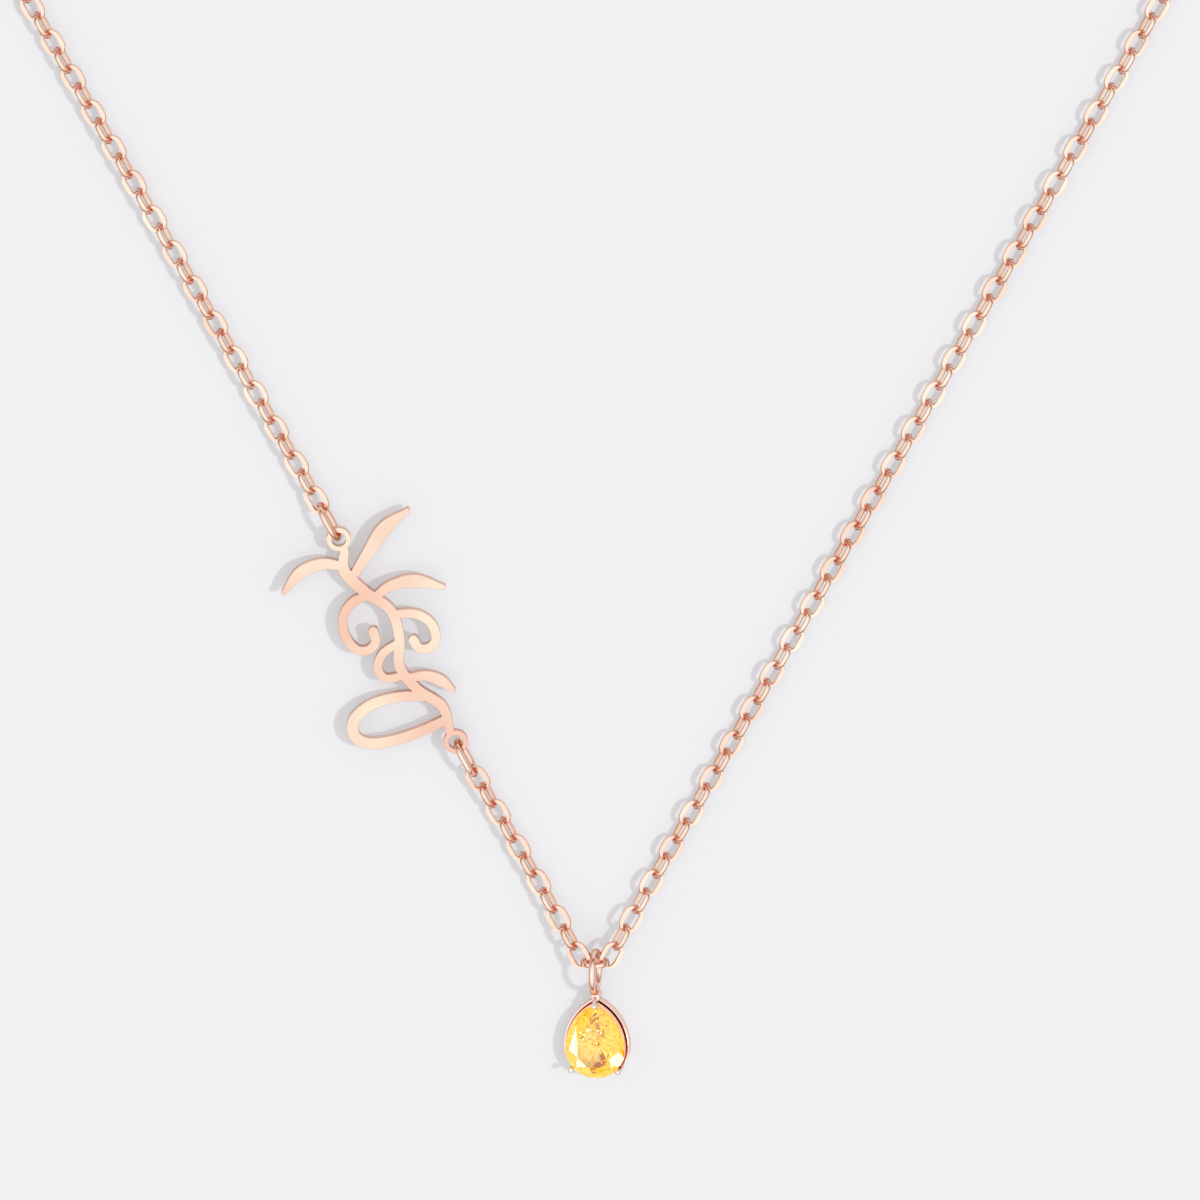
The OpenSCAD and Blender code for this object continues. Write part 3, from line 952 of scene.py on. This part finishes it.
@dataclass
class Drop:
    """The stone's drop: bail, post, rail of two thin walls, prongs and stone.

    The drop lies on its left side, so its own frame is turned about Y. In that frame X runs across the
    stone, Y along it and Z out of its table, with zero at the middle of the girdle. The bail is smaller
    than its diameter by bail_ease, which keeps its rounder outline inside that of the solid.
    """

    pear: Pear = field(default_factory=Pear)
    turn: float = 10.0
    bail_drop: float = 0.94
    bail_diameter: float = 4.28
    bail_wire: float = 0.46
    bail_band: float = 0.6
    bail_ease: float = 0.014
    crown: float = 0.85
    pavilion: float = 2.2
    girdle: float = 0.16
    post_diameter: float = 0.78
    post_gap: float = 0.13
    post_rise: float = 0.1
    post_overlap: float = 0.08
    post_ease: float = 0.06
    post_sides: int = 40
    rail_out: float = 0.26
    rail_wall: float = 0.12
    rail_height: float = 0.9
    rail_depth: float = 1.75
    rail_steps: int = 72
    floor: float = 0.3
    wall_out: float = 0.03
    wall: float = 0.13
    wall_top: float = 0.3
    prong_wire: float = 0.36
    bend_steps: int = 6
    bend_below: float = 0.25
    bend_above: float = 0.6
    ball: float = 0.58
    prong_angle: float = 42.0
    ball_in: float = 0.05
    tip_rise: float = 0.1
    seat: float = 0.06
    flat_within: float = 0.3
    back_below: float = -0.1
    plain_grain: float = 0.1
    lift: float = field(init=False)
    bail_height: float = field(init=False)
    bail_y: float = field(init=False)
    post_y: float = field(init=False)
    pear_y: float = field(init=False)

    def __post_init__(self) -> None:
        """Works out the places that follow from the sizes."""
        low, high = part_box("middle_link")
        lean = math.radians(self.turn)
        ring = (self.bail_diameter - self.bail_wire) / 2 * math.cos(lean) + self.bail_wire / 2
        bail_level = ring + (self.bail_band - self.bail_wire) / 2 * math.sin(lean)
        rail_level = (self.rail_depth * math.cos(lean)
                      + (self.pear.radius + self.rail_out) * math.sin(lean))
        keel_level = (self.pavilion + self.girdle / 2) * math.cos(lean)
        self.lift = max(rail_level, keel_level)
        self.bail_height = (bail_level - self.lift) / math.cos(lean)
        self.bail_y = (low[1] + high[1]) / 2 / MM - self.bail_drop
        self.post_y = (self.bail_y - self.bail_diameter / 2 + self.post_overlap
                       - self.post_diameter / 2)
        self.pear_y = self.post_y - self.post_diameter / 2 - self.post_gap - self.pear.tip

    def place(self, y: float) -> Matrix:
        """Gives the drop's frame at a distance along the necklace's middle line.

        Args:
            y: The distance.

        Returns:
            The frame, in millimetres.
        """
        return (Matrix.Translation((0, y, self.lift))
                @ Matrix.Rotation(math.radians(-self.turn), 4, "Y"))

    def rail(self, shape: Shape) -> None:
        """Adds the rail, a floor with an outer and an inner wall, from prong to prong.

        Args:
            shape: The setting so far.
        """
        low = -self.rail_depth
        outer, inner = self.rail_out - self.rail_wall, self.wall_out - self.wall
        section = (
            (self.rail_out, low), (self.rail_out, low + self.rail_height),
            (outer, low + self.rail_height), (outer, low + self.floor),
            (self.wall_out, low + self.floor), (self.wall_out, -self.wall_top),
            (inner, -self.wall_top), (inner, low))
        sweep = 180 + 2 * self.prong_angle
        turns = [-self.prong_angle + sweep * i / self.rail_steps for i in range(self.rail_steps + 1)]
        shape.loft([[self.pear.point(turn, out) + Vector((0, 0, z)) for out, z in section]
                    for turn in turns], self.place(self.pear_y))

    def prong(self, shape: Shape, foot: Vector, shoulder: Vector, tip: Vector) -> None:
        """Adds a prong that bends at its shoulder and ends in a ball.

        The bend begins and ends at a share of the way from the shoulder to the foot and to the tip.

        Args:
            shape: The setting so far.
            foot: Lower end of the wire.
            shoulder: Where it bends over the stone.
            tip: Centre of its ball.
        """
        place = self.place(self.pear_y)
        before = shoulder.lerp(foot, self.bend_below)
        after = shoulder.lerp(tip, self.bend_above)
        shares = [i / self.bend_steps for i in range(self.bend_steps + 1)]
        curve = [before.lerp(shoulder, share).lerp(shoulder.lerp(after, share), share)
                 for share in shares]
        shape.wire([foot, *curve, tip], self.prong_wire / 2, place)
        before_ball = len(shape.faces)
        shape.ball(tip, self.ball / 2, place)
        # The ball's faces take the whiter finish, a painted highlight
        shape.bright += range(before_ball, len(shape.faces))

    def setting(self) -> Shape:
        """Gathers the post, rail and prongs.

        Returns:
            Their shells.
        """
        shape = Shape()
        self.rail(shape)
        radius, ease = self.post_diameter / 2, self.post_ease
        top = self.bail_height + self.post_rise
        outline = ((radius - ease, -self.rail_depth), (radius, ease - self.rail_depth),
                   (radius, top - ease), (radius - ease / 3, top - ease / 3), (radius - ease, top))
        shape.lathe(outline, self.place(self.post_y), self.post_sides)
        ball_z = self.girdle / 2 + self.ball / 2 + self.seat
        shank = self.post_y - self.pear_y - self.prong_wire / 4
        self.prong(shape, Vector((0, shank, self.bail_height)), Vector((0, shank, ball_z / 2)),
                   Vector((0, self.pear.tip - self.ball / 4, ball_z + self.tip_rise)))
        reach = self.pear.radius + self.seat + self.prong_wire / 2
        angle = math.radians(self.prong_angle)
        for side in (-1, 1):
            aim = Vector((side * math.cos(angle), -math.sin(angle), 0))
            self.prong(shape, reach * aim + Vector((0, 0, self.prong_wire / 2 - self.rail_depth)),
                       reach * aim + Vector((0, 0, self.girdle)),
                       (reach - self.ball_in) * aim + Vector((0, 0, ball_z)))
        return shape

    def stone(self) -> bpy.types.Object:
        """Cuts the stone: table, stars, kites and halves above, three rows and a keel below.

        Returns:
            The stone.
        """
        mains, half = 8, self.girdle / 2
        rows = (  # share of the outline, height, corners, turn in steps
            (0.58, half + self.crown, mains, 0.5),
            (0.84, half + 0.56 * self.crown, mains, 0.0),
            (1.0, half, 3 * mains, 0.0),
            (1.0, -half, 3 * mains, 0.0),
            (0.80, -half - 0.28 * self.pavilion, 2 * mains, 0.5),
            (0.5, -half - 0.6 * self.pavilion, 2 * mains, 0.0),
            (0.2, -half - 0.86 * self.pavilion, mains, 0.5),
        )
        cut = bmesh.new()
        place = self.place(self.pear_y)
        for share, z, count, start in rows:
            for i in range(count):
                point = self.pear.point(360 * (i + start) / count) * share
                cut.verts.new(place @ Vector((point.x, point.y, z)) * MM)
        cut.verts.new(place @ Vector((0, 0, -half - self.pavilion)) * MM)
        bmesh.ops.convex_hull(cut, input=cut.verts)
        bmesh.ops.dissolve_limit(
            cut, angle_limit=math.radians(self.flat_within), verts=cut.verts, edges=cut.edges)
        out = place.to_3x3() @ Vector((0, 0, 1))
        for facet in cut.faces:
            facet.material_index = int(facet.normal.dot(out) < self.back_below)
        mesh = bpy.data.meshes.new("pear_stone")
        cut.to_mesh(mesh)
        cut.free()
        polish(mesh, Shading.CUT)
        # Each facet's random tone feeds the pavilion's painted reflection
        reflection_tones = mesh.attributes.new(PAINTED_REFLECTION_TONE, "FLOAT", "FACE")
        reflection_tones.data.foreach_set(
            "value", [random.Random(i).random() for i in range(len(mesh.polygons))])
        grains = mesh.attributes.new(FACET_GRAIN, "FLOAT", "FACE")
        grains.data.foreach_set("value", [
            1.0 if facet.center.y > self.pear_y * MM else self.plain_grain
            for facet in mesh.polygons])
        return show("pear_stone", mesh)

    def build(
        self,
        tree: bpy.types.NodeTree,
        metal: bpy.types.Material,
        bail_metal: bpy.types.Material,
        painted_highlight_metal: bpy.types.Material,
        gem: YellowSapphire,
    ) -> bpy.types.Object:
        """Builds the whole drop.

        Args:
            tree: The tree that bends a wire ring.
            metal: Finish of the setting.
            bail_metal: Finish of the bail.
            painted_highlight_metal: Finish of the prongs' balls, a whiter copy of the metal that paints
                their highlight.
            gem: Finish of the stone.

        Returns:
            The stone.
        """
        facing = (self.place(self.bail_y) @ Matrix.Translation((0, 0, self.bail_height))
                  @ Matrix.Rotation(math.radians(90), 4, "Y"))
        size = self.bail_diameter - self.bail_ease
        bail = WireRing(size, size, self.bail_wire, self.bail_band, corner_steps=20, wire_sides=20)
        ring = bail.bend("bail_ring", [(facing.to_translation() * MM, facing.to_quaternion())],
                         tree, bail_metal)
        setting = self.setting().make("stone_setting", Shading.POLISHED)
        # The second finish, on the prongs' balls, is a whiter copy of the metal that paints their
        # highlight
        for finish in (metal, painted_highlight_metal):
            setting.data.materials.append(finish)
        fit(ring, Slot.METAL, "setting")
        fit(setting, Slot.METAL, "setting")
        stone = self.stone()
        for finish in (gem.front(), gem.back()):
            stone.data.materials.append(finish)
        fit(stone, Slot.STONE, "stone")
        return stone


def light_only(target: bpy.types.Object, lamp: bpy.types.Object) -> None:
    """Puts a lamp into the scene that lights one object. All others still throw their shadows.

    Args:
        target: The object that it lights.
        lamp: The lamp.
    """
    lit = bpy.data.collections.new(f"lit_by_{lamp.name}")
    lit.objects.link(target)
    lamp.light_linking.receiver_collection = lit
    bpy.context.scene.collection.objects.link(lamp)


@dataclass
class Studio:
    """Pale light table, bright soft ceiling, warm dark ring of room, side lamp and sparkle lamps.

    Each row of the room is its height, as the sine of the angle above the horizon, and its light. Each
    sparkle lamp has its bearing and its height in degrees.
    """

    floor_radius_m: float = 12.0
    floor_sides: int = 96
    lamp_strength: float = 1.6
    lamp_width: float = 4.0
    lamp_height: float = 58.0
    lamp_bearing: float = 12.0
    rows: tuple[tuple[float, tuple[float, float, float]], ...] = (
        (0.0, (0.85, 0.85, 0.85)), (0.03, (0.85, 0.84, 0.83)), (0.06, (0.4, 0.13, 0.07)),
        (0.26, (0.4, 0.13, 0.07)), (0.42, (0.8, 0.66, 0.58)), (0.62, (1.0, 0.97, 0.95)),
        (0.8, (1.25, 1.25, 1.26)), (1.0, (1.25, 1.25, 1.26)))
    sparkles: tuple[tuple[float, float], ...] = (
        (-177.0, 8.0), (-163.0, 21.0), (-133.0, 17.0), (-45.0, 26.0))
    sparkle_size_m: float = 0.2
    sparkle_watts: float = 0.9

    def floor(self) -> bpy.types.Object:
        """Lays the sheet under the lowest point of the necklace.

        Returns:
            The sheet.
        """
        mesh = bpy.data.meshes.new("light_table")
        turns = [math.tau * i / self.floor_sides for i in range(self.floor_sides)]
        rim = [Vector((math.cos(a), math.sin(a), 0)) * self.floor_radius_m
               + Vector((0, 0, cad_low[2])) for a in turns]
        mesh.from_pydata(rim, [], [tuple(range(self.floor_sides))])
        mesh.materials.append(LightTable().make())
        sheet = show("light_table", mesh)
        return sheet

    def room(self) -> None:
        """Lights the room: brightest overhead, dark low down and pale again at the horizon."""
        world = bpy.data.worlds.new("studio_room")
        world.use_nodes = True
        tree = world.node_tree
        tree.nodes.clear()
        aim = add(tree, "ShaderNodeSeparateXYZ", {
            "Vector": add(tree, "ShaderNodeTexCoord").outputs["Generated"]})
        ramp = add(tree, "ShaderNodeValToRGB", {"Fac": aim.outputs["Z"]})
        stops = ramp.color_ramp.elements
        stops.remove(stops[1])
        for i, (at, colour) in enumerate(self.rows):
            stop = stops[0] if i == 0 else stops.new(at)
            stop.position = at
            stop.color = (*colour, 1.0)
        light = add(tree, "ShaderNodeBackground", {"Color": ramp.outputs["Color"]})
        add(tree, "ShaderNodeOutputWorld", {"Surface": light.outputs["Background"]})
        bpy.context.scene.world = world

    def lamp(self, sheet: bpy.types.Object) -> None:
        """Hangs the side lamp, which throws short shadows to the left and leaves no glare on metal.

        Args:
            sheet: The light table's sheet, the only thing that the lamp lights.
        """
        data = bpy.data.lights.new("side_lamp", "SUN")
        data.energy = self.lamp_strength
        data.angle = math.radians(self.lamp_width)
        lamp = bpy.data.objects.new("side_lamp", data)
        lamp.rotation_euler = (0, math.radians(90 - self.lamp_height), math.radians(self.lamp_bearing))
        light_only(sheet, lamp)

    def sparkle(self, stone: bpy.types.Object) -> None:
        """Sets small lamps, a metre off, that only the stone sees and its crown mirrors to the camera.

        Args:
            stone: The stone.
        """
        for i, (bearing, height) in enumerate(self.sparkles):
            data = bpy.data.lights.new(f"sparkle_lamp_{i}", "AREA")
            data.shape, data.size, data.energy = "DISK", self.sparkle_size_m, self.sparkle_watts
            lamp = bpy.data.objects.new(f"sparkle_lamp_{i}", data)
            aim = Euler((0, math.radians(90 - height), math.radians(bearing)))
            lamp.rotation_euler = aim
            lamp.location = aim.to_matrix() @ Vector((0, 0, 1)) + Vector((0, cad_low[1], 0))
            lamp.visible_camera = False
            light_only(stone, lamp)

    def build(self) -> None:
        """Builds the floor, its lamp and the room, and shows colours as they are."""
        self.lamp(self.floor())
        self.room()
        bpy.context.scene.view_settings.view_transform = "Standard"


@dataclass
class Viewpoint:
    """The camera, high above the necklace and a little to the clasp's side, with a long lens."""

    tilt: float = 16.0
    frame_width_mm: float = 109.1
    right_mm: float = 0.4545
    up_mm: float = 34.02
    level_mm: float = 1.02
    lens_mm: float = 1000.0
    sensor_mm: float = 36.0
    sight: float = 4.0

    def build(self) -> None:
        """Sets the camera so the middle link stands where the photograph shows it.

        It sees as far as its sight, in times its distance.
        """
        low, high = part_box("middle_link")
        lean = math.radians(self.tilt)
        aim = Vector((self.right_mm * MM, (low[1] + high[1]) / 2 + self.up_mm * MM, self.level_mm * MM))
        data = bpy.data.cameras.new("overhead_camera")
        data.lens, data.sensor_width = self.lens_mm, self.sensor_mm
        distance = self.frame_width_mm * MM * self.lens_mm / self.sensor_mm
        data.clip_end = self.sight * distance
        camera = bpy.data.objects.new("overhead_camera", data)
        camera.location = aim + distance * Vector((0, math.sin(lean), math.cos(lean)))
        camera.rotation_euler = (-lean, 0, 0)
        bpy.context.scene.collection.objects.link(camera)
        bpy.context.scene.camera = camera


def main() -> None:
    """Builds the necklace and its surroundings, piece by piece."""
    logging.basicConfig(level=logging.INFO, format="%(name)s: %(message)s")
    Viewpoint().build()
    studio = Studio()
    studio.build()
    chain_metal = RoseGoldPlating("rose_gold_electroplate_chain", "#F5E3D0", "#F0CFB9").make()
    plate_metal = RoseGoldPlating(
        "rose_gold_electroplate_plate", "#E8D6C0", "#E2B09C", grazing="#F6E2E4", painted_shade_mm=0.12,
        drift_mm=12.0).make()
    drop_metal = RoseGoldPlating(
        "rose_gold_electroplate_drop", "#F4DFD4", "#EFCDC4", grazing="#FBE3DF", painted_crevice_shade="#C5431C",
        painted_shade_mm=0.2).make()
    bail_metal = RoseGoldPlating(
        "rose_gold_electroplate_bail", "#F6E4D6", "#F0CFBD", grazing="#E5A088", painted_shade_mm=0.2).make()
    # The prongs' balls get a near-white copy of the metal, a painted highlight
    painted_highlight_metal = RoseGoldPlating(
        "rose_gold_electroplate_ball", "#FFF8F4", "#FBEDE6", grazing="#E9CFC6", painted_crevice_shade="#C98468",
        painted_shade_mm=0.3).make()
    ring_tree = WireRing.tree()
    CableChain().build(chain_metal)
    JumpRings().build(ring_tree, chain_metal)
    PiercedPlate().build(plate_metal)
    studio.sparkle(
        Drop().build(ring_tree, drop_metal, bail_metal, painted_highlight_metal, YellowSapphire()))
    Clasp().build(chain_metal)


if __name__ == "__main__":
    main()
